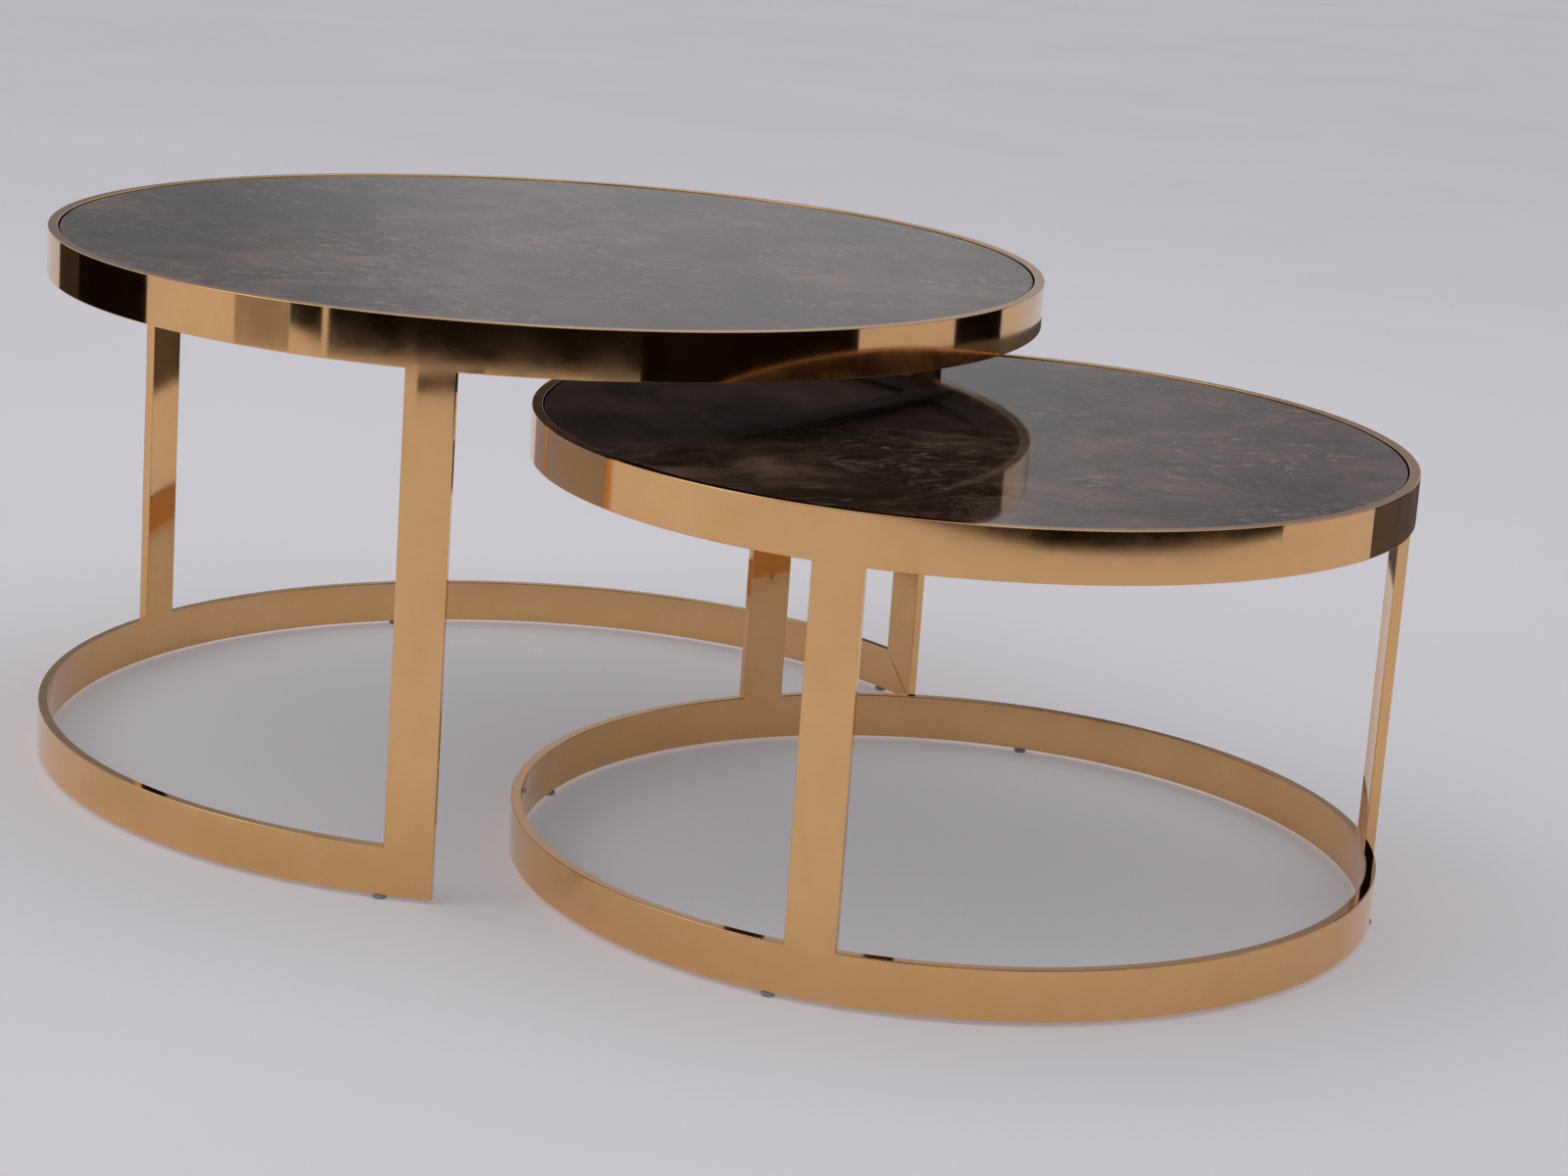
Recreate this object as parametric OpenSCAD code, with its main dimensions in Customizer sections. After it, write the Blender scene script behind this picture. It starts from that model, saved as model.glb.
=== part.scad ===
// A set of two round nesting coffee tables. Each one is a flat-bar metal frame with a stone top
// set inside its rim. The large table's base is an open arc, so the small table, whose base is a
// full ring, slides in under it along X. Lengths are in millimetres and angles in degrees.

/* [Large table] */
// Outer diameter of the large table
large_d = 800; // [780:1:880]
// Height of the large table
large_h = 428; // [415:1:470]
// Bearing of the large table's front leg
large_front_angle = -63.5; // [-66:0.5:-62]
// Bearing of the large table's right leg
large_right_angle = 69.5; // [64:0.5:72]
// Bearing of the large table's back leg
large_back_angle = 185.5; // [175:0.5:190]

/* [Small table] */
// Outer diameter of the small table
small_d = 660; // [600:1:680]
// Height of the small table
small_h = 345; // [300:1:352]
// Bearing of the small table's front leg
small_front_angle = -74; // [-80:0.5:-60]
// Bearing of the small table's right leg
small_right_angle = 33; // [20:0.5:50]
// Bearing of the small table's back leg
small_back_angle = 150; // [140:0.5:165]
// Distance between the two tables' centres as they stand, partly nested
spread = 408; // [340:1:440]

/* [Flat bar] */
// Width of the flat bar of the rims, legs and bases
bar_w = 37; // [35:0.5:40]
// Thickness of the flat bar
bar_t = 8; // [6:0.5:10]
// Rounding of the flat bar's long edges
bar_round = 0.8; // [0.4:0.1:2]

/* [Tops] */
// Thickness of a stone top
stone_t = 12; // [10:0.5:12]
// Depth of the stone's face below the rim's edge
stone_recess = 1; // [0.5:0.1:2]
// Width of the gap between the stone and the rim
stone_gap = 1.2; // [0.8:0.1:2]
// Thickness of the backing board under the stone
board_t = 12; // [9:0.5:12]

/* [Support] */
// Width of the support ledge inside a rim
ledge_w = 28; // [24:1:40]
// Thickness of the support ledge
ledge_t = 3; // [2:0.5:3]
// Width of a cross strap
strap_w = 25; // [20:1:40]
// Thickness of a cross strap
strap_t = 4; // [3:0.5:5]

/* [Feet] */
// Diameter of a glide pad
foot_d = 10; // [8:0.5:14]
// Height of a glide pad
foot_h = 3.5; // [3:0.5:5]

/* [Hidden] */
$fn = 96;
cut = 1;
large_r = large_d / 2;
small_r = small_d / 2;
set_length = large_r + spread + small_r;
large_x = large_r - set_length / 2;
small_x = large_x + spread;
ring_top = foot_h + bar_w;
stone_chamfer = 0.8;
board_gap = 2;
pad_d = 14;
pad_h = 1.5;
pad_count = 6;
screw_count = 6;
screw_first = 15;
pad_first = screw_first + 30;
screw_r = 2;
screw_clearance = 0.25;
screw_depth = 9;
screw_head_r = 4;
screw_head_h = 2.6;
socket_across = 2.5;
socket_depth = 1.4;
strap_offset = 0.42;
foot_round = 0.8;
large_feet_from = large_right_angle + 4;
large_feet_to = 360 + large_front_angle - 3;
large_feet = [for (i = [0 : 3]) large_feet_from + i * (large_feet_to - large_feet_from) / 3];
small_feet = [small_front_angle - 5, small_right_angle - 11, small_back_angle - 41, small_back_angle + 45];

// Heights of the layers of a table of height h, from the rim's edge down.
function stone_z(h) = h - stone_recess - stone_t;
function board_z(h) = stone_z(h) - board_t;
function ledge_z(h) = board_z(h) - pad_h - ledge_t;
function strap_z(h) = ledge_z(h) - strap_t;

// Half of the angle that a leg's width takes up at radius r.
function leg_half_angle(r) = asin(bar_w / 2 / r);

// Bearing of the i-th fastener of n, starting from the bearing first.
function spaced(i, n, first) = first + i * 360 / n;

// Cross-section of the flat bar with its corner at the origin and its long edges rounded.
module bar_section() {
    translate([bar_round, 0])
        square([bar_t - 2 * bar_round, bar_w]);
    translate([0, bar_round])
        square([bar_t, bar_w - 2 * bar_round]);
    for (x = [bar_round, bar_t - bar_round])
        for (y = [bar_round, bar_w - bar_round])
            translate([x, y])
                circle(r = bar_round, $fn = 24);
}

// Flat bar rolled to outer radius r, over the given angle.
module rolled_bar(r, angle = 360) {
    rotate_extrude(angle = angle, $fn = 180)
        translate([r - bar_t, 0])
            bar_section();
}

// Flat bar standing on end at the bearing a, dressed to the curve of radius r on both faces.
module upright(r, a, z0, z1) {
    half = leg_half_angle(r);
    rotate(a - half)
        rotate_extrude(angle = 2 * half, $fn = 180)
            translate([r - bar_t, z0])
                square([bar_t, z1 - z0]);
}

// Block on the lower side of a mitre at the bearing a. The mitre falls from the base bar's top
// edge to the leg's outer bottom corner, and side is +1 where it falls towards larger bearings.
module mitre_block(r, a, side) {
    rotate(a)
        translate([r - bar_t / 2, -side * bar_w / 2, ring_top])
            rotate([side > 0 ? -45 : 45, 0, 0])
                translate([-bar_t, side > 0 ? -bar_w : -3 * bar_w, -2 * bar_w])
                    cube([2 * bar_t, 4 * bar_w, 2 * bar_w]);
}

// Leg that stands on the base ring and is welded under the rim.
module standing_leg(r, h, a) {
    color("#b8925f")
        upright(r, a, ring_top, h - bar_w);
}

// Leg at an open end of the base arc, which it meets in a mitre.
module mitred_leg(r, h, a, side) {
    color("#b8925f")
        difference() {
            upright(r, a, foot_h, h - bar_w);
            mitre_block(r, a, side);
        }
}

module rim(r, h) {
    color("#b8925f")
        translate([0, 0, h - bar_w])
            rolled_bar(r);
}

// Flat ring welded inside the rim, drilled for the board's screws.
module ledge(r, h) {
    color("#6b563c")
        difference() {
            translate([0, 0, ledge_z(h)])
                difference() {
                    cylinder(r = r - bar_t, h = ledge_t, $fn = 180);
                    translate([0, 0, -cut])
                        cylinder(r = r - bar_t - ledge_w, h = ledge_t + 2 * cut, $fn = 180);
                }
            at_ledge(r, screw_count, screw_first)
                translate([0, 0, ledge_z(h) - cut])
                    cylinder(r = screw_r + screw_clearance, h = ledge_t + 2 * cut);
        }
}

// Copies the children to count places round the middle of the ledge.
module at_ledge(r, count, first) {
    for (i = [0 : count - 1])
        rotate(spaced(i, count, first))
            translate([r - bar_t - ledge_w / 2, 0, 0])
                children();
}

// Strap across the rim, under the ledge, on one side of the centre.
module strap(r, h, side) {
    color("#6b563c")
        intersection() {
            translate([side * strap_offset * r - strap_w / 2, -r, strap_z(h)])
                cube([strap_w, 2 * r, strap_t]);
            translate([0, 0, strap_z(h) - cut])
                cylinder(r = r - bar_t, h = strap_t + 2 * cut, $fn = 180);
        }
}

module pads(r, h) {
    color("#d9d7cf")
        at_ledge(r, pad_count, pad_first)
            translate([0, 0, ledge_z(h) + ledge_t])
                cylinder(d = pad_d, h = pad_h);
}

// Socket-head screws that hold the backing board down on the ledge.
module screws(r, h) {
    color("#8e8e90")
        at_ledge(r, screw_count, screw_first)
            translate([0, 0, ledge_z(h)])
                screw();
}

module screw() {
    difference() {
        union() {
            cylinder(r = screw_r, h = ledge_t + pad_h + screw_depth);
            translate([0, 0, -screw_head_h])
                cylinder(r = screw_head_r, h = screw_head_h);
        }
        translate([0, 0, -screw_head_h - cut])
            cylinder(d = socket_across, h = socket_depth + cut, $fn = 6);
    }
}

// Backing board bonded under the stone, with pilot holes for the screws.
module board(r, h) {
    color("#3a2f2a")
        difference() {
            translate([0, 0, board_z(h)])
                cylinder(r = r - bar_t - board_gap, h = board_t, $fn = 180);
            at_ledge(r, screw_count, screw_first)
                translate([0, 0, board_z(h) - cut])
                    cylinder(r = screw_r, h = screw_depth + cut);
        }
}

// Round stone slab with a small chamfer round its face.
module stone(r, h) {
    edge = r - bar_t - stone_gap;
    color("#4a3b36")
        translate([0, 0, stone_z(h)])
            rotate_extrude($fn = 180)
                polygon([
                    [0, 0], [edge, 0], [edge, stone_t - stone_chamfer],
                    [edge - stone_chamfer, stone_t], [0, stone_t]
                ]);
}

// Round glide pads stuck under the base bar.
module feet(r, angles) {
    color("#8b8a86")
        for (a = angles)
            rotate(a)
                translate([r - bar_t / 2, 0, 0])
                    rotate_extrude($fn = 48)
                        polygon([
                            [0, 0], [foot_d / 2 - foot_round, 0], [foot_d / 2, foot_round],
                            [foot_d / 2, foot_h], [0, foot_h]
                        ]);
}

// Base arc of the large table, open between the front and right legs and mitred at both ends.
module open_base(r, from, to) {
    half = leg_half_angle(r);
    color("#b8925f")
        intersection() {
            translate([0, 0, foot_h])
                rotate(from - half)
                    rolled_bar(r, to - from + 2 * half);
            union() {
                mitre_block(r, from, -1);
                mitre_block(r, to, 1);
                arc_middle(r, from + half, to - half);
            }
        }
}

// Sector that covers the base arc between its two mitred ends.
module arc_middle(r, from, to) {
    rotate(from)
        rotate_extrude(angle = to - from, $fn = 180)
            translate([r - 2 * bar_t, 0])
                square([3 * bar_t, 2 * bar_w]);
}

module ring_base(r) {
    color("#b8925f")
        translate([0, 0, foot_h])
            rolled_bar(r);
}

module place_large() {
    translate([large_x, 0, 0])
        children();
}

module place_small() {
    translate([small_x, 0, 0])
        children();
}

module large_rim() { place_large() rim(large_r, large_h); }
module large_leg_front() { place_large() mitred_leg(large_r, large_h, large_front_angle, 1); }
module large_leg_right() { place_large() mitred_leg(large_r, large_h, large_right_angle, -1); }
module large_leg_back() { place_large() standing_leg(large_r, large_h, large_back_angle); }
module large_base() { place_large() open_base(large_r, large_right_angle, 360 + large_front_angle); }
module large_ledge() { place_large() ledge(large_r, large_h); }
module large_strap_front() { place_large() strap(large_r, large_h, 1); }
module large_strap_back() { place_large() strap(large_r, large_h, -1); }
module large_pads() { place_large() pads(large_r, large_h); }
module large_screws() { place_large() screws(large_r, large_h); }
module large_board() { place_large() board(large_r, large_h); }
module large_top() { place_large() stone(large_r, large_h); }
module large_feet() { place_large() feet(large_r, large_feet); }

module small_rim() { place_small() rim(small_r, small_h); }
module small_leg_front() { place_small() standing_leg(small_r, small_h, small_front_angle); }
module small_leg_right() { place_small() standing_leg(small_r, small_h, small_right_angle); }
module small_leg_back() { place_small() standing_leg(small_r, small_h, small_back_angle); }
module small_base() { place_small() ring_base(small_r); }
module small_ledge() { place_small() ledge(small_r, small_h); }
module small_strap_front() { place_small() strap(small_r, small_h, 1); }
module small_strap_back() { place_small() strap(small_r, small_h, -1); }
module small_pads() { place_small() pads(small_r, small_h); }
module small_screws() { place_small() screws(small_r, small_h); }
module small_board() { place_small() board(small_r, small_h); }
module small_top() { place_small() stone(small_r, small_h); }
module small_feet() { place_small() feet(small_r, small_feet); }

large_rim();
large_leg_front();
large_leg_right();
large_leg_back();
large_base();
large_ledge();
large_strap_front();
large_strap_back();
large_pads();
large_screws();
large_board();
large_top();
large_feet();
small_rim();
small_leg_front();
small_leg_right();
small_leg_back();
small_base();
small_ledge();
small_strap_front();
small_strap_back();
small_pads();
small_screws();
small_board();
small_top();
small_feet();
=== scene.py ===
"""Two round nesting coffee tables: polished flat-bar frames and dark polished stone tops.

Every piece is turned, rolled or cut in mesh code at the size of the CAD node that it stands for.
Lengths are in metres. The pieces' bearings are in radians, about each table's own axis. The stage's
bearings are in degrees from the camera's right, about the frame's origin.
"""
import math

import bpy
from mathutils import Matrix, Vector


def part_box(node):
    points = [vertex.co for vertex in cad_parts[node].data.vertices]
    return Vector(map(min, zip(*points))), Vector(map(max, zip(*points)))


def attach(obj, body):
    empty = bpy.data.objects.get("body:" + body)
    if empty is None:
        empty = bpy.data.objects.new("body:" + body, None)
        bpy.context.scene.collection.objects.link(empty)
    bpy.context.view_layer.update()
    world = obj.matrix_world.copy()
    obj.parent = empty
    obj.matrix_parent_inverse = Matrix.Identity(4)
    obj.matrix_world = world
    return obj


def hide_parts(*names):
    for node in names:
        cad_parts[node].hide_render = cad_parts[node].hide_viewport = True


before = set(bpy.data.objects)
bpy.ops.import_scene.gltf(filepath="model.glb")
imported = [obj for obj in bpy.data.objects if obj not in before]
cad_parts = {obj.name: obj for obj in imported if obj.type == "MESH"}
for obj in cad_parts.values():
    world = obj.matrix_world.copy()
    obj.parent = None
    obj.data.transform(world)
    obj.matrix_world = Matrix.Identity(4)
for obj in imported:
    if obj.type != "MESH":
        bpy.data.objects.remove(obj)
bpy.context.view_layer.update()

# Smoothness of the round shapes
RING_STEPS = 360
SMALL_RING_STEPS = 48
CORNER_STEPS = 5
SCREW_CORNER_STEPS = 3
LEG_SIDE_STEPS = 12
FLAT_SIDE_STEPS = 6
LENGTH_STEPS = 12

# Roundings of the pieces' edges
BAR_ROUND = 0.0008
STONE_ROUND = 0.0010
BOARD_ROUND = 0.0008
LEDGE_ROUND = 0.0004
STRAP_ROUND = 0.0006
PAD_ROUND = 0.0004
FOOT_ROUND = 0.0009
SCREW_ROUND = 0.0002

# Sizes that the frame's boxes don't give
LEDGE_WIDTH = 0.028
PAD_RADIUS = 0.007
FOOT_RADIUS = 0.005
SHANK_RADIUS = 0.0020
HEAD_RADIUS = 0.0040
HEAD_HEIGHT = 0.0026
SOCKET_RADIUS = 0.00125
SOCKET_DEPTH = 0.0014

# A screw's points belong to its socket up to this many times the socket's radius and depth
SOCKET_SLACK = 1.2

# Share of a turned piece's radius at which the flat face in its middle starts
SLAB_HUB = 1 / 8
DISC_HUB = 1 / 4

# The points of one small solid lie within this many of its radii of each other
SPOT_SPREAD = 3

# The camera, which stands in front of the large table's axis
CAMERA_BEARING = math.radians(37.88)
CAMERA_DISTANCE = 2.639
CAMERA_HEIGHT = 0.818
CAMERA_TURN = 0.0622
CAMERA_TILT = -0.2198
CAMERA_ROLL = 0.0677
CAMERA_LENS = 75.17
CAMERA_SHIFT = (0.030, -0.060)
SENSOR_WIDTH = 36.0

# The floor, which turns up into a wall all round and glows a little. Its rings are shares of its radius
FLOOR_RADIUS = 14.0
FLOOR_RINGS = (0.1, 0.3, 0.6)
FLOOR_STEPS = 96
WALL_BEND = 1.6
BEND_STEPS = 16
FLOOR_DARK = (0.74, 0.725, 0.75)
FLOOR_PALE = (0.78, 0.765, 0.79)
FLOOR_GLOW = (0.98, 0.96, 1.0, 1.0)
FLOOR_GLOW_STRENGTH = 0.16

# Cloths of the panels: flat shade, and the lighter shade of their painted fold shading
CLOTHS = {
    "black": ((0.005, 0.004, 0.003), (0.013, 0.010, 0.008)),
    "brown": ((0.045, 0.033, 0.024), (0.085, 0.064, 0.048)),
    "umber": ((0.12, 0.108, 0.098), (0.20, 0.18, 0.165)),
    "grey": ((0.48, 0.46, 0.46), (0.54, 0.52, 0.52)),
}

# How finely the panels are bent, and the heights that most of them reach
PANEL_STEPS = 48
LOW_PANEL = 0.42
HIGH_PANEL = 1.1

# Panels that the gold and the stone reflect: name, cloth, bearings of the two ends, distances of the
# two ends, and heights of the lower and upper edge
PANELS = (
    ("panel_left_edge", "brown", (137, 150), (2.0, 2.0), (0, LOW_PANEL)),
    ("panel_left", "black", (150, 177), (2.0, 2.0), (0, LOW_PANEL)),
    ("panel_step", "grey", (200, 213), (2.5, 2.5), (0, LOW_PANEL)),
    ("panel_notch", "black", (213, 220.3), (2.70, 2.58), (0, LOW_PANEL)),
    ("panel_front_left", "black", (221.6, 292), (2.50, 2.30), (0, HIGH_PANEL)),
    ("panel_front_right", "black", (286, 338), (1.92, 1.99), (0, HIGH_PANEL)),
    ("strip_front", "black", (250, 287), (1.93, 1.915), (0, 0.07)),
    ("strip_left", "grey", (118, 177.5), (1.1, 1.1), (0, 0.12)),
    ("strip_leg", "black", (240.5, 254), (1.9, 1.9), (0.070, 0.092)),
    ("panel_right", "black", (9, 30), (2.0, 2.0), (0, LOW_PANEL)),
    ("panel_right_near", "umber", (-5, 80), (1.0, 1.0), (0, 0.26)),
    ("panel_right_hung", "black", (338, 400), (2.0, 2.0), (LOW_PANEL, HIGH_PANEL)),
)

# Soft lights: name, bearing, distance, height, width and length, and power in watts
LIGHTS = (
    ("overhead", 90, 0.3, 3.2, (3.0, 3.0), 17),
    ("left_key", 195, 3.4, 2.4, (1.6, 2.2), 11),
)
LIGHT_AIM = (0, 0, 0.3)

# The surround's strength, how far to each side its tones run, and its tones from left to right
AIR_STRENGTH = 0.60
AIR_SIDE = 0.5
AIR_TONES = [
    (0.0, (0.95, 0.94, 1.0)), (0.28, (0.26, 0.27, 0.29)), (0.40, (0.36, 0.36, 0.38)),
    (0.48, (0.68, 0.66, 0.69)), (0.62, (0.68, 0.66, 0.69)), (0.74, (0.38, 0.36, 0.39)),
    (1.0, (0.95, 0.94, 1.0)),
]


# ---------------------------------------------------------------- node helpers

def node_adder(tree):
    """Function that adds a node to tree, with its settings and with its inputs set or linked."""
    def add(kind, inputs=None, **settings):
        node = tree.nodes.new(kind)
        for key, value in settings.items():
            setattr(node, key, value)
        for key, value in (inputs or {}).items():
            if isinstance(value, bpy.types.NodeSocket):
                tree.links.new(value, node.inputs[key])
            else:
                node.inputs[key].default_value = value
        return node

    return add


def new_material(name):
    """Material with its shader node, and functions that add and link nodes."""
    material = bpy.data.materials.new(name)
    material.use_nodes = True
    tree = material.node_tree
    return material, tree.nodes["Principled BSDF"], node_adder(tree), tree.links.new


def ramp(add, factor, stops):
    """Colour ramp through the given (position, colour) stops. A grey is given as one number."""
    node = add("ShaderNodeValToRGB", {"Fac": factor})
    elements = node.color_ramp.elements
    while len(elements) < len(stops):
        elements.new(0.5)
    for element, (position, colour) in zip(elements, stops):
        element.position = position
        element.color = (*((colour,) * 3 if isinstance(colour, float) else colour), 1.0)
    return node.outputs["Color"]


def noise(add, vector, scale, detail=4.0, roughness=0.5, distortion=0.0):
    """Factor output of a noise texture."""
    node = add("ShaderNodeTexNoise", {
        "Vector": vector, "Scale": scale, "Detail": detail,
        "Roughness": roughness, "Distortion": distortion,
    })
    return node.outputs["Fac"]


def mapped(add, source, scale=(1, 1, 1), location=(0, 0, 0), rotation=(0, 0, 0)):
    """Coordinates moved, turned and scaled."""
    node = add("ShaderNodeMapping", {
        "Vector": source, "Scale": scale, "Location": location, "Rotation": rotation,
    })
    return node.outputs["Vector"]


def bump(add, height, strength, distance, normal=None):
    """Normal output of a bump node."""
    inputs = {"Height": height, "Strength": strength, "Distance": distance}
    if normal is not None:
        inputs["Normal"] = normal
    return add("ShaderNodeBump", inputs).outputs["Normal"]


def ridges(add, vector, scale, width):
    """Thin lines where a noise crosses its middle value."""
    level = noise(add, vector, scale, detail=6.0, roughness=0.55)
    offset = add("ShaderNodeMath", {0: level, 1: 0.5}, operation="SUBTRACT").outputs[0]
    distance = add("ShaderNodeMath", {0: offset}, operation="ABSOLUTE").outputs[0]
    return ramp(add, distance, [(0.0, 1.0), (width * 0.3, 0.6), (width, 0.0)])


def ranged(add, value, low, high, start=0.0, end=1.0):
    """Number from low to high as value goes from start to end."""
    node = add("ShaderNodeMapRange", {
        "Value": value, "From Min": start, "From Max": end, "To Min": low, "To Max": high,
    })
    return node.outputs["Result"]


def mix_colour(add, factor, first, second, blend="MIX"):
    """Mix of two colours, each a socket or an (r, g, b)."""
    node = add("ShaderNodeMix", data_type="RGBA", blend_type=blend)
    for key, value in ((0, factor), (6, first), (7, second)):
        if isinstance(value, bpy.types.NodeSocket):
            node.id_data.links.new(value, node.inputs[key])
        else:
            node.inputs[key].default_value = (*value, 1.0) if key else value
    return node.outputs[2]


def laid_over(add, ground, marks, patches, colour):
    """Ground with a colour laid over it, wherever both the marks and the patches are pale."""
    shown = mix_colour(add, 1.0, marks, patches, "MULTIPLY")
    return mix_colour(add, shown, ground, colour)


# ---------------------------------------------------------------- materials

def polished_gold():
    """Polished brass-coloured bar, with fine lines along it and the slight waves of hand polishing."""
    material, shader, add, link = new_material("polished_gold")
    coords = add("ShaderNodeTexCoord")
    along = mapped(add, coords.outputs["UV"], scale=(5, 1200, 1))
    lines = noise(add, along, 1.0, detail=3.0, roughness=0.6)
    waves = noise(add, coords.outputs["Object"], 7.0, detail=1.0)
    smears = noise(add, coords.outputs["Object"], 22.0, detail=6.0, roughness=0.62)
    tint = ramp(add, smears, [(0.30, (0.790, 0.462, 0.196)), (0.70, (0.850, 0.510, 0.232))])
    link(tint, shader.inputs["Base Color"])
    link(ranged(add, smears, 0.035, 0.085, 0.3, 0.75), shader.inputs["Roughness"])
    shader.inputs["Metallic"].default_value = 1.0
    fine = bump(add, lines, 0.03, 0.00001)
    link(bump(add, waves, 0.08, 0.0004, fine), shader.inputs["Normal"])
    return material


def brown_marble(name, location, turn):
    """Dark brown stone with lighter clouds, tan veins, flecks and fine cracks, polished to a gloss."""
    material, shader, add, link = new_material(name)
    coords = add("ShaderNodeTexCoord")
    place = mapped(add, coords.outputs["Object"], location=location, rotation=(0, 0, turn))
    warp = add("ShaderNodeTexNoise", {"Vector": place, "Scale": 6.0, "Detail": 7.0, "Roughness": 0.6})
    push = add(
        "ShaderNodeVectorMath", {0: warp.outputs["Color"], 1: (0.13, 0.13, 0.0)}, operation="MULTIPLY"
    )
    warped = add("ShaderNodeVectorMath", {0: place, 1: push.outputs[0]}, operation="ADD").outputs[0]

    def patches(scale, detail, start, end, most):
        """Soft patches of a noise, black below start and at their most above end."""
        return ramp(add, noise(add, place, scale, detail=detail), [(start, 0.0), (end, most)])

    clouds = noise(add, warped, 15.0, detail=12.0, roughness=0.72, distortion=0.4)
    ground = ramp(add, clouds, [
        (0.34, (0.018, 0.010, 0.0065)), (0.45, (0.050, 0.028, 0.018)), (0.53, (0.105, 0.061, 0.040)),
        (0.60, (0.165, 0.103, 0.070)), (0.72, (0.240, 0.168, 0.120)),
    ])
    depth = noise(add, warped, 6.0, detail=6.0, roughness=0.6)
    dark_parts = ramp(add, depth, [(0.42, 0.0), (0.60, 0.85)])
    stone = mix_colour(add, dark_parts, ground, (0.028, 0.016, 0.0108))

    wisps = ridges(add, mapped(add, warped, scale=(1.0, 2.0, 1.0)), 9.0, 0.030)
    stone = laid_over(add, stone, wisps, patches(7.0, 5.0, 0.46, 0.66, 0.70), (0.190, 0.132, 0.094))
    threads = ridges(add, mapped(add, warped, location=(3.0, 1.0, 0.0)), 24.0, 0.026)
    stone = laid_over(add, stone, threads, patches(10.0, 4.0, 0.48, 0.66, 0.60), (0.150, 0.102, 0.071))
    specks = noise(add, mapped(add, warped, scale=(1.0, 1.7, 1.0)), 70.0, detail=4.0)
    flecks = ramp(add, specks, [(0.54, 0.0), (0.66, 0.55)])
    stone = laid_over(add, stone, flecks, patches(9.0, 4.0, 0.42, 0.60, 1.0), (0.400, 0.290, 0.215))
    cells = add("ShaderNodeTexVoronoi", {"Vector": warped, "Scale": 5.5}, feature="DISTANCE_TO_EDGE")
    cracks = ramp(add, cells.outputs["Distance"], [(0.0, 0.4), (0.004, 0.22), (0.010, 0.0)])
    stone = laid_over(add, stone, cracks, patches(4.2, 3.0, 0.52, 0.64, 1.0), (0.260, 0.190, 0.140))
    link(stone, shader.inputs["Base Color"])

    polish = noise(add, place, 26.0, detail=5.0)
    link(ranged(add, polish, 0.035, 0.07, 0.3, 0.7), shader.inputs["Roughness"])
    shader.inputs["IOR"].default_value = 1.52
    link(bump(add, noise(add, place, 14.0, detail=2.0), 0.05, 0.0004), shader.inputs["Normal"])
    return material


def black_paint():
    """Satin black powder coat with a fine orange-peel surface."""
    material, shader, add, link = new_material("black_paint")
    coords = add("ShaderNodeTexCoord")
    peel = noise(add, coords.outputs["Object"], 900.0, detail=2.0)
    dust = noise(add, coords.outputs["Object"], 30.0, detail=6.0, roughness=0.65)
    paint = ramp(add, dust, [(0.3, (0.011, 0.009, 0.007)), (0.75, (0.024, 0.019, 0.015))])
    link(paint, shader.inputs["Base Color"])
    link(ranged(add, dust, 0.55, 0.75), shader.inputs["Roughness"])
    shader.inputs["Specular IOR Level"].default_value = 0.2
    link(bump(add, peel, 0.25, 0.00008), shader.inputs["Normal"])
    return material


def dark_board():
    """Fibreboard stained dark in blotches, with its pressed fibres showing."""
    material, shader, add, link = new_material("dark_board")
    coords = add("ShaderNodeTexCoord")
    stretched = mapped(add, coords.outputs["Object"], scale=(60, 420, 200))
    fibres = noise(add, stretched, 1.0, detail=8.0, roughness=0.7)
    stain = noise(add, coords.outputs["Object"], 11.0, detail=9.0, roughness=0.68, distortion=0.6)
    blotches = ramp(add, stain, [(0.36, 0.0), (0.52, 0.55), (0.62, 0.95)])
    grain = ramp(add, fibres, [
        (0.30, (0.110, 0.068, 0.045)), (0.55, (0.180, 0.115, 0.080)), (0.80, (0.260, 0.175, 0.125)),
    ])
    link(mix_colour(add, blotches, grain, (0.020, 0.012, 0.008)), shader.inputs["Base Color"])
    shader.inputs["Specular IOR Level"].default_value = 0.1
    link(ranged(add, fibres, 0.55, 0.8), shader.inputs["Roughness"])
    link(bump(add, fibres, 0.3, 0.0002), shader.inputs["Normal"])
    return material


def soft_plastic(name, scale, pale, dark, rough, depth):
    """Cloudy plastic between two shades that lets a little light in. rough is its least and most
    roughness, and depth how much of the light goes in."""
    material, shader, add, link = new_material(name)
    coords = add("ShaderNodeTexCoord")
    cloud = noise(add, coords.outputs["Object"], scale, detail=4.0)
    link(ramp(add, cloud, [(0.3, dark), (0.7, pale)]), shader.inputs["Base Color"])
    link(ranged(add, cloud, *rough), shader.inputs["Roughness"])
    shader.inputs["Subsurface Weight"].default_value = depth
    shader.inputs["Subsurface Scale"].default_value = 0.002
    link(bump(add, cloud, 0.1, 0.0001), shader.inputs["Normal"])
    return material


def grey_plastic():
    """Milky grey plastic of the glide pads."""
    return soft_plastic(
        "grey_plastic", scale=260.0, pale=(0.33, 0.33, 0.32), dark=(0.20, 0.20, 0.19),
        rough=(0.30, 0.45), depth=0.25,
    )


def clear_rubber():
    """Clear rubber of the soft pads, which has yellowed a little."""
    return soft_plastic(
        "clear_rubber", scale=180.0, pale=(0.75, 0.73, 0.66), dark=(0.62, 0.60, 0.52),
        rough=(0.25, 0.4), depth=0.4,
    )


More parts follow.
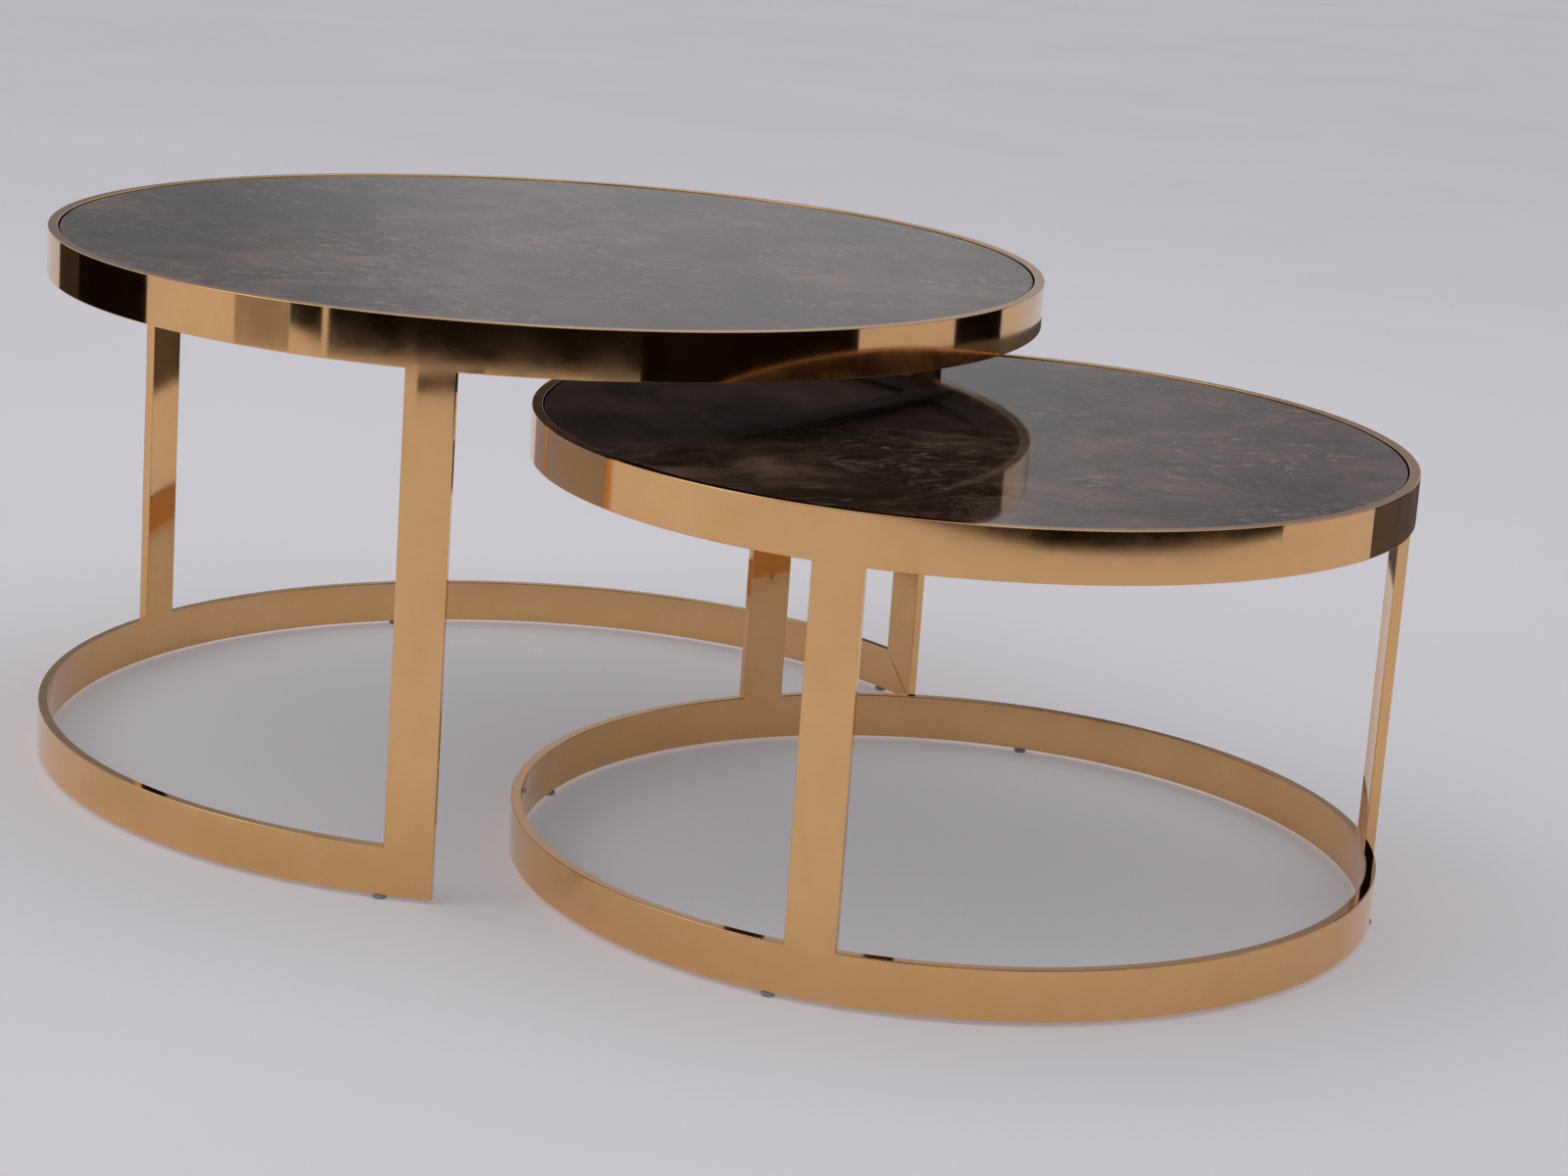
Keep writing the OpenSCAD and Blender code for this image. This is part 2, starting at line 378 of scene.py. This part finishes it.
def zinc_steel():
    """Mottled zinc plating of the screws."""
    material, shader, add, link = new_material("zinc_steel")
    coords = add("ShaderNodeTexCoord")
    mottle = noise(add, coords.outputs["Object"], 600.0, detail=5.0)
    plating = ramp(add, mottle, [(0.3, (0.42, 0.42, 0.44)), (0.7, (0.58, 0.57, 0.56))])
    link(plating, shader.inputs["Base Color"])
    link(ranged(add, mottle, 0.22, 0.42), shader.inputs["Roughness"])
    shader.inputs["Metallic"].default_value = 1.0
    link(bump(add, mottle, 0.2, 0.00004), shader.inputs["Normal"])
    return material


# ---------------------------------------------------------------- mesh helpers

def radial(bearing):
    """Level unit vector at a bearing."""
    return Vector((math.cos(bearing), math.sin(bearing), 0))


def tangent(bearing):
    """Level unit vector square to the radial one, towards larger bearings."""
    return Vector((-math.sin(bearing), math.cos(bearing), 0))


def lerp(first, last, share):
    """Value a share of the way from first to last."""
    return first + (last - first) * share


def rounded(corners, rounding, steps=CORNER_STEPS, closed=True, side_steps=1):
    """Outline through corners, run anticlockwise, with each corner rounded. It gives (a, b, normal)
    points. An open outline keeps its two ends as they are, and side_steps divides each straight side."""
    corners = [Vector(c) for c in corners]
    count = len(corners)
    outline = []

    def side(start, end):
        direction = (end - start).normalized()
        normal = Vector((direction.y, -direction.x))
        for step in range(side_steps + 1):
            outline.append((*start.lerp(end, step / side_steps), normal))

    starts, ends = [], []
    for index, corner in enumerate(corners):
        if not closed and index in (0, count - 1):
            starts.append(corner)
            ends.append(corner)
            continue
        before = (corners[index - 1] - corner).normalized()
        after = (corners[(index + 1) % count] - corner).normalized()
        setback = rounding / math.tan(before.angle(after) / 2)
        starts.append(corner + before * setback)
        ends.append(corner + after * setback)
    for index in range(count if closed else count - 1):
        following = (index + 1) % count
        side(ends[index], starts[following])
        if not closed and following == count - 1:
            break
        first = (starts[following] - ends[index]).normalized()
        second_corner = corners[(following + 1) % count]
        second = (second_corner - corners[following]).normalized()
        turn = math.atan2(first.x * second.y - first.y * second.x, first.dot(second))
        outward = Vector((first.y, -first.x)) * math.copysign(1, turn)
        middle = starts[following] - outward * rounding
        for step in range(1, steps):
            arm = outward.copy()
            arm.rotate(Matrix.Rotation(turn * step / steps, 2))
            outline.append((*(middle + arm * rounding), arm * math.copysign(1, turn)))
    return outline


def lengths(points):
    """Running length along a list of points."""
    run = [0.0]
    for first, second in zip(points, points[1:]):
        run.append(run[-1] + (second - first).length)
    return run


def surface(name, rows, ring, loop):
    """Mesh over rows of (point, normal). ring joins the last row to the first, and loop joins each
    row's last point to its first. A direction that isn't joined is closed with a flat face at each end."""
    row_count, width = len(rows), len(rows[0])
    points = [point for row in rows for point, _ in row]
    normals = [normal for row in rows for _, normal in row]
    edge = [row[0][0] for row in rows] + ([rows[0][0][0]] if ring else [])
    section = [point for point, _ in rows[0]] + ([rows[0][0][0]] if loop else [])
    along, across = lengths(edge), lengths(section)
    faces, face_normals, face_uvs = [], [], []
    for i in range(row_count if ring else row_count - 1):
        for j in range(width if loop else width - 1):
            corners = [(i, j), (i + 1, j), (i + 1, j + 1), (i, j + 1)]
            face = [(r % row_count) * width + c % width for r, c in corners]
            faces.append(face)
            face_normals.append([normals[v] for v in face])
            face_uvs.append([(along[r], across[c]) for r, c in corners])
    first = faces[len(faces) // 2]
    facing = (points[first[1]] - points[first[0]]).cross(points[first[2]] - points[first[0]])
    flip = facing.dot(normals[first[0]]) < 0
    if loop and not ring:
        last_row = [(row_count - 1) * width + j for j in range(width)]
        faces += [list(range(width)), last_row[::-1]]
    if ring and not loop:
        first_edge = [i * width for i in range(row_count)]
        last_edge = [i * width + width - 1 for i in range(row_count)]
        faces += [first_edge[::-1], last_edge]
    for face in faces[len(face_uvs):]:
        face_uvs.append([(points[v].x, points[v].y) for v in face])
        face_normals.append(None)
    if flip:
        faces = [face[::-1] for face in faces]
        face_normals = [n and n[::-1] for n in face_normals]
        face_uvs = [uv[::-1] for uv in face_uvs]
    mesh = bpy.data.meshes.new(name)
    mesh.from_pydata([p[:] for p in points], [], faces)
    mesh.shade_smooth()
    layer = mesh.uv_layers.new(name="along")
    loop_normals = []
    for polygon, uvs, own in zip(mesh.polygons, face_uvs, face_normals):
        loop_normals += [n[:] for n in own] if own else [polygon.normal[:]] * polygon.loop_total
        for index, uv in zip(polygon.loop_indices, uvs):
            layer.data[index].uv = uv
    mesh.normals_split_custom_set(loop_normals)
    piece = bpy.data.objects.new(name, mesh)
    bpy.context.scene.collection.objects.link(piece)
    return piece


def turned(name, outline, centre, steps=RING_STEPS, loop=True):
    """Outline of (radius, height, normal) points turned full circle about the upright through centre."""
    rows = []
    for step in range(steps):
        out = radial(2 * math.pi * step / steps)
        rows.append([
            (centre + out * a + Vector((0, 0, b)), out * normal[0] + Vector((0, 0, normal[1])))
            for a, b, normal in outline
        ])
    return surface(name, rows, ring=True, loop=loop)


def joined(name, parts):
    """One object from several, under the first one's name."""
    bpy.ops.object.select_all(action="DESELECT")
    for part in parts:
        part.select_set(True)
    bpy.context.view_layer.objects.active = parts[0]
    bpy.ops.object.join()
    parts[0].name = name
    return parts[0]


def box_corners(inner, outer, low, high):
    """Corners of an upright section from inner to outer and from low to high, anticlockwise."""
    return [(inner, low), (outer, low), (outer, high), (inner, high)]


# ---------------------------------------------------------------- reading the frame

def bearings_of(node, centre):
    """Least and greatest bearing of a CAD node about centre."""
    low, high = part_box(node)
    middle = (low + high) / 2 - centre
    facing = math.atan2(middle.y, middle.x)
    turns = []
    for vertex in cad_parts[node].data.vertices:
        arm = vertex.co - centre
        turns.append(math.remainder(math.atan2(arm.y, arm.x) - facing, 2 * math.pi))
    return facing + min(turns), facing + max(turns)


def spots_of(node, radius):
    """Centres of a CAD node's separate solids, each of about the given radius."""
    groups = []
    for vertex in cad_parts[node].data.vertices:
        for group in groups:
            if (vertex.co.xy - group[0]).length < SPOT_SPREAD * radius:
                group.append(vertex.co.xy.copy())
                break
        else:
            groups.append([vertex.co.xy.copy()])
    spots = []
    for group in groups:
        xs, ys = [p.x for p in group], [p.y for p in group]
        spots.append(Vector(((min(xs) + max(xs)) / 2, (min(ys) + max(ys)) / 2, 0)))
    return spots


class Table:
    """Where the frame puts one table, and the sizes of its bar."""

    def __init__(self, name):
        self.name = name
        self.body = name + "_table"
        low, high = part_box(name + "_rim")
        self.centre = Vector(((low.x + high.x) / 2, (low.y + high.y) / 2, 0))
        self.radius = (high.x - low.x) / 2
        self.rim_low = low.z
        self.bar_width = high.z - low.z
        self.bar_thick = self.radius - self.reach("ledge")
        base_low, base_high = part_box(name + "_base")
        self.base_low, self.base_high = base_low.z, base_high.z

    def node(self, part):
        """Name of a part's CAD node."""
        return f"{self.name}_{part}"

    def reach(self, part):
        """Greatest radius of a round part."""
        low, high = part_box(self.node(part))
        return (high.x - low.x) / 2

    def heights(self, part):
        """Lowest and highest point of a part."""
        low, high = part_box(self.node(part))
        return low.z, high.z

    def leg_bearing(self, part):
        """Bearing of a leg's middle."""
        low, high = bearings_of(self.node(part), self.centre)
        return (low + high) / 2


# ---------------------------------------------------------------- pieces

def place_piece(table, part, piece, material):
    """Gives a piece its material and slot, and lets it stand for its CAD node on the table's body."""
    piece.data.materials.append(material)
    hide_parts(table.node(part))
    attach(piece, table.body)


def rolled_ring(table, part):
    """Bar rolled to a full ring on edge."""
    corners = box_corners(table.radius - table.bar_thick, table.radius, *table.heights(part))
    return turned(table.node(part) + "_bar", rounded(corners, BAR_ROUND), table.centre)


def open_arc(table, part, start, end):
    """Bar rolled to an open arc, with both ends mitred so that its low edge runs on under the legs."""
    half = table.bar_width / 2 / table.radius
    corners = box_corners(-table.bar_thick, 0, 0, table.bar_width)
    section = rounded(corners, BAR_ROUND)
    rows = []
    for step in range(RING_STEPS + 1):
        row = []
        for a, b, normal in section:
            mitre = 2 * half * b / table.bar_width
            bearing = lerp(start - half + mitre, end + half - mitre, step / RING_STEPS)
            out = radial(bearing)
            point = table.centre + out * (table.radius + a) + Vector((0, 0, table.base_low + b))
            row.append((point, out * normal[0] + Vector((0, 0, normal[1]))))
        rows.append(row)
    return surface(table.node(part) + "_bar", rows, ring=False, loop=True)


def upright_bar(table, part, bearing, mitre_side):
    """Leg dressed to the rim's curve. It runs into the roundings of the bars that it is welded to. Where
    mitre_side is 1 or -1 instead of 0, its foot is mitred, with its low corner on that side."""
    width = table.bar_width
    section = rounded(
        box_corners(-table.bar_thick, 0, -width / 2, width / 2), BAR_ROUND, side_steps=LEG_SIDE_STEPS
    )
    top = table.rim_low + BAR_ROUND
    rows = []
    for step in range(LENGTH_STEPS + 1):
        row = []
        for a, b, normal in section:
            if mitre_side:
                foot = table.base_low + width / 2 - mitre_side * b
            else:
                foot = table.base_high - BAR_ROUND
            turn = bearing + b / table.radius
            height = Vector((0, 0, lerp(foot, top, step / LENGTH_STEPS)))
            point = table.centre + radial(turn) * (table.radius + a) + height
            row.append((point, radial(turn) * normal[0] + tangent(turn) * normal[1]))
        rows.append(row)
    return surface(table.node(part) + "_bar", rows, ring=False, loop=True)


def stone_slab(table):
    """Round slab with softened edges."""
    low, high = table.heights("top")
    edge = table.reach("top")
    hub = edge * SLAB_HUB
    corners = [(hub, low), (edge, low), (edge, high), (hub, high)]
    outline = rounded(corners, STONE_ROUND, closed=False, side_steps=FLAT_SIDE_STEPS)
    return turned(table.node("top_slab"), outline, table.centre, loop=False)


def backing(table):
    """Round board under the slab."""
    low, high = table.heights("board")
    edge = table.reach("board")
    hub = edge * SLAB_HUB
    outline = rounded([(hub, low), (edge, low), (edge, high), (hub, high)], BOARD_ROUND, closed=False)
    return turned(table.node("board_disc"), outline, table.centre, loop=False)


def support_ledge(table):
    """Flat ring inside the rim."""
    low, high = table.heights("ledge")
    outer = table.reach("ledge")
    corners = box_corners(outer - LEDGE_WIDTH, outer, low, high)
    return turned(table.node("ledge_ring"), rounded(corners, LEDGE_ROUND), table.centre)


def cross_strap(table, part):
    """Flat strap across the rim, with its ends cut to the rim's curve."""
    low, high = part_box(table.node(part))
    reach = table.reach("ledge")
    corners = box_corners(low.x, high.x, low.z, high.z)
    section = rounded(corners, STRAP_ROUND, side_steps=FLAT_SIDE_STEPS)
    rows = []
    for step in range(LENGTH_STEPS + 1):
        share = lerp(-1, 1, step / LENGTH_STEPS)
        row = []
        for x, z, normal in section:
            half_chord = math.sqrt(reach ** 2 - (x - table.centre.x) ** 2)
            point = Vector((x, table.centre.y + share * half_chord, z))
            row.append((point, Vector((normal[0], 0, normal[1]))))
        rows.append(row)
    return surface(table.node(part) + "_bar", rows, ring=False, loop=True)


def discs(table, part, radius, rounding):
    """Small round discs, one at each place where the CAD node has a solid."""
    low, high = table.heights(part)
    hub = radius * DISC_HUB
    outline = rounded([(hub, low), (radius, low), (radius, high), (hub, high)], rounding, closed=False)
    made = []
    for spot in spots_of(table.node(part), radius):
        made.append(turned(table.node(part) + "_disc", outline, spot, SMALL_RING_STEPS, loop=False))
    return joined(table.node(part) + "_set", made)


def socket_screw(name, spot, low, high):
    """Screw with a rounded head and a six-sided socket."""
    neck = low + HEAD_HEIGHT
    floor = low + SOCKET_DEPTH
    outline = rounded([
        (SOCKET_RADIUS * DISC_HUB, floor), (SOCKET_RADIUS, floor), (SOCKET_RADIUS, low),
        (HEAD_RADIUS, low), (HEAD_RADIUS, neck), (SHANK_RADIUS, neck), (SHANK_RADIUS, high),
        (SHANK_RADIUS * DISC_HUB, high),
    ], SCREW_ROUND, steps=SCREW_CORNER_STEPS, closed=False)
    rows = []
    for step in range(SMALL_RING_STEPS):
        bearing = 2 * math.pi * step / SMALL_RING_STEPS
        out = radial(bearing)
        sixth = math.pi / 3
        flat = math.cos(sixth / 2) / math.cos(bearing % sixth - sixth / 2)
        row = []
        for a, b, normal in outline:
            in_socket = a < SOCKET_RADIUS * SOCKET_SLACK and b < low + SOCKET_DEPTH * SOCKET_SLACK
            point = spot + out * (a * flat if in_socket else a) + Vector((0, 0, b))
            row.append((point, out * normal[0] + Vector((0, 0, normal[1]))))
        rows.append(row)
    return surface(name, rows, ring=True, loop=False)


def screw_set(table):
    """The screws that hold the board down on the ledge."""
    low, high = table.heights("screws")
    made = []
    for spot in spots_of(table.node("screws"), HEAD_RADIUS):
        made.append(socket_screw(table.node("screw"), spot, low, high))
    return joined(table.node("screws_set"), made)


def build_table(table, materials):
    """Makes all thirteen pieces of one table. An open base has its end legs mitred into it."""
    legs = {part: table.leg_bearing(part) for part in ("leg_front", "leg_right", "leg_back")}
    if table.name == "large":
        mitres = {"leg_front": 1, "leg_right": -1}
        base = open_arc(table, "base", legs["leg_right"], 2 * math.pi + legs["leg_front"])
    else:
        mitres = {}
        base = rolled_ring(table, "base")
    gold = materials["gold"]
    place_piece(table, "base", base, gold)
    place_piece(table, "rim", rolled_ring(table, "rim"), gold)
    for part, bearing in legs.items():
        leg = upright_bar(table, part, bearing, mitres.get(part, 0))
        place_piece(table, part, leg, gold)
    place_piece(table, "top", stone_slab(table), materials[table.name + "_marble"])
    place_piece(table, "board", backing(table), materials["board"])
    place_piece(table, "ledge", support_ledge(table), materials["paint"])
    for part in ("strap_front", "strap_back"):
        place_piece(table, part, cross_strap(table, part), materials["paint"])
    pads = discs(table, "pads", PAD_RADIUS, PAD_ROUND)
    place_piece(table, "pads", pads, materials["pad"])
    feet = discs(table, "feet", FOOT_RADIUS, FOOT_ROUND)
    place_piece(table, "feet", feet, materials["foot"])
    place_piece(table, "screws", screw_set(table), materials["zinc"])


# ---------------------------------------------------------------- stage, light and camera

def backdrop():
    """Pale floor, lit a little from within, that turns up all round. It can be seen through from
    underneath."""
    material, shader, add, link = new_material("backdrop_paint")
    coords = add("ShaderNodeTexCoord")
    mottle = noise(add, coords.outputs["Object"], 1.3, detail=3.0)
    link(ramp(add, mottle, [(0.3, FLOOR_DARK), (0.7, FLOOR_PALE)]), shader.inputs["Base Color"])
    shader.inputs["Roughness"].default_value = 0.9
    shader.inputs["Specular IOR Level"].default_value = 0.1
    shader.inputs["Emission Color"].default_value = FLOOR_GLOW
    shader.inputs["Emission Strength"].default_value = FLOOR_GLOW_STRENGTH
    clear = add("ShaderNodeBsdfTransparent")
    side = add("ShaderNodeNewGeometry")
    both = add("ShaderNodeMixShader", {
        "Fac": side.outputs["Backfacing"], 1: shader.outputs["BSDF"], 2: clear.outputs["BSDF"],
    })
    link(both.outputs["Shader"], material.node_tree.nodes["Material Output"].inputs["Surface"])
    rings = [(FLOOR_RADIUS * share, 0.0) for share in FLOOR_RINGS]
    for step in range(BEND_STEPS + 1):
        angle = math.pi / 2 * step / BEND_STEPS
        rings.append((FLOOR_RADIUS + WALL_BEND * math.sin(angle), WALL_BEND * (1 - math.cos(angle))))
    points = [
        radial(2 * math.pi * step / FLOOR_STEPS) * reach + Vector((0, 0, height))
        for reach, height in rings for step in range(FLOOR_STEPS)
    ]
    faces = [list(range(FLOOR_STEPS))]
    for ring in range(len(rings) - 1):
        for step in range(FLOOR_STEPS):
            after = (step + 1) % FLOOR_STEPS
            here, there = ring * FLOOR_STEPS, (ring + 1) * FLOOR_STEPS
            faces.append([here + step, there + step, there + after, here + after])
    plain_stage("backdrop", points, faces, material)


def plain_stage(name, points, faces, material):
    """Smooth stage mesh from points and faces."""
    mesh = bpy.data.meshes.new(name)
    mesh.from_pydata([p[:] for p in points], [], faces)
    mesh.shade_smooth()
    mesh.materials.append(material)
    shape = bpy.data.objects.new(name, mesh)
    bpy.context.scene.collection.objects.link(shape)
    return shape


def studio_cloth(name, shade, fold_lit_shade):
    """Studio cloth between two shades, with painted fold shading in soft lighter patches, which takes the
    floor's colour at its very foot.
    """
    material, shader, add, link = new_material(name)
    coords = add("ShaderNodeTexCoord")
    # Painted fold shading: soft noise patches lighten the flat cloth as if folds caught the light
    fold_shading = noise(add, coords.outputs["Object"], 3.0, detail=2.0)
    cloth = ramp(add, fold_shading, [(0.3, shade), (0.7, fold_lit_shade)])
    parts = add("ShaderNodeSeparateXYZ", {"Vector": coords.outputs["Object"]})
    rise = ramp(add, parts.outputs["Z"], [(0.0, 0.0), (0.004, 0.5), (0.011, 1.0)])
    link(mix_colour(add, rise, FLOOR_DARK, cloth), shader.inputs["Base Color"])
    shader.inputs["Roughness"].default_value = 1.0
    shader.inputs["Specular IOR Level"].default_value = 0.0
    return material


def panel(name, material, span, reach, heights):
    """Curved panel that only reflections see. It runs between the two bearings of span, at the
    distances that reach gives for its two ends, between two heights."""
    points, faces = [], []
    for step in range(PANEL_STEPS + 1):
        share = step / PANEL_STEPS
        out = radial(CAMERA_BEARING + math.radians(lerp(*span, share))) * lerp(*reach, share)
        points += [out + Vector((0, 0, height)) for height in heights]
        if step:
            faces.append((2 * step - 2, 2 * step, 2 * step + 1, 2 * step - 1))
    shape = plain_stage(name, points, faces, material)
    for sight in ("camera", "diffuse", "shadow", "transmission"):
        setattr(shape, "visible_" + sight, False)


def soft_light(name, bearing, distance, height, size, power):
    """Large soft light, aimed at the tables."""
    data = bpy.data.lights.new(name, "AREA")
    data.shape = "RECTANGLE"
    data.size, data.size_y = size
    data.energy = power
    lamp = bpy.data.objects.new(name, data)
    bpy.context.scene.collection.objects.link(lamp)
    lamp.location = radial(CAMERA_BEARING + math.radians(bearing)) * distance + Vector((0, 0, height))
    lamp.rotation_mode = "QUATERNION"
    lamp.rotation_quaternion = (Vector(LIGHT_AIM) - lamp.location).to_track_quat("-Z", "Y")


def surround():
    """Pale surround with a dim part on each side of the view's middle, the left one dimmer."""
    world = bpy.data.worlds.new("studio_air")
    world.use_nodes = True
    tree = world.node_tree
    add = node_adder(tree)
    coords = add("ShaderNodeTexCoord")
    in_view = mapped(add, coords.outputs["Generated"], rotation=(0, 0, -CAMERA_BEARING))
    parts = add("ShaderNodeSeparateXYZ", {"Vector": in_view})
    across = ranged(add, parts.outputs["X"], 0.0, 1.0, -AIR_SIDE, AIR_SIDE)
    background = tree.nodes["Background"]
    tree.links.new(ramp(add, across, AIR_TONES), background.inputs["Color"])
    background.inputs["Strength"].default_value = AIR_STRENGTH
    bpy.context.scene.world = world


def studio():
    """Backdrop, panels, lights and surround."""
    backdrop()
    cloths = {name: studio_cloth(name + "_cloth", *shades) for name, shades in CLOTHS.items()}
    for name, cloth, span, reach, heights in PANELS:
        panel(name, cloths[cloth], span, reach, heights)
    for light in LIGHTS:
        soft_light(*light)
    surround()
    bpy.context.scene.view_settings.view_transform = "Standard"


def add_camera(table):
    """Camera in front of the large table, turned, tilted and rolled a little."""
    data = bpy.data.cameras.new("camera")
    data.sensor_width = SENSOR_WIDTH
    data.lens = CAMERA_LENS
    data.shift_x, data.shift_y = CAMERA_SHIFT
    camera = bpy.data.objects.new("camera", data)
    bpy.context.scene.collection.objects.link(camera)
    away = radial(CAMERA_BEARING - math.pi / 2) * CAMERA_DISTANCE
    place = Matrix.Translation(table.centre + away + Vector((0, 0, CAMERA_HEIGHT)))
    turn = Matrix.Rotation(CAMERA_BEARING - CAMERA_TURN, 4, "Z")
    tilt = Matrix.Rotation(math.pi / 2 + CAMERA_TILT, 4, "X")
    roll = Matrix.Rotation(CAMERA_ROLL, 4, "Z")
    camera.matrix_world = place @ turn @ tilt @ roll
    bpy.context.scene.camera = camera


large = Table("large")
small = Table("small")
add_camera(large)
studio()
materials = {
    "gold": polished_gold(),
    "large_marble": brown_marble("large_marble", location=(0.0, 0.0, 0.0), turn=0.4),
    "small_marble": brown_marble("small_marble", location=(1.7, 0.6, 0.3), turn=2.1),
    "paint": black_paint(),
    "board": dark_board(),
    "pad": clear_rubber(),
    "foot": grey_plastic(),
    "zinc": zinc_steel(),
}
build_table(large, materials)
build_table(small, materials)
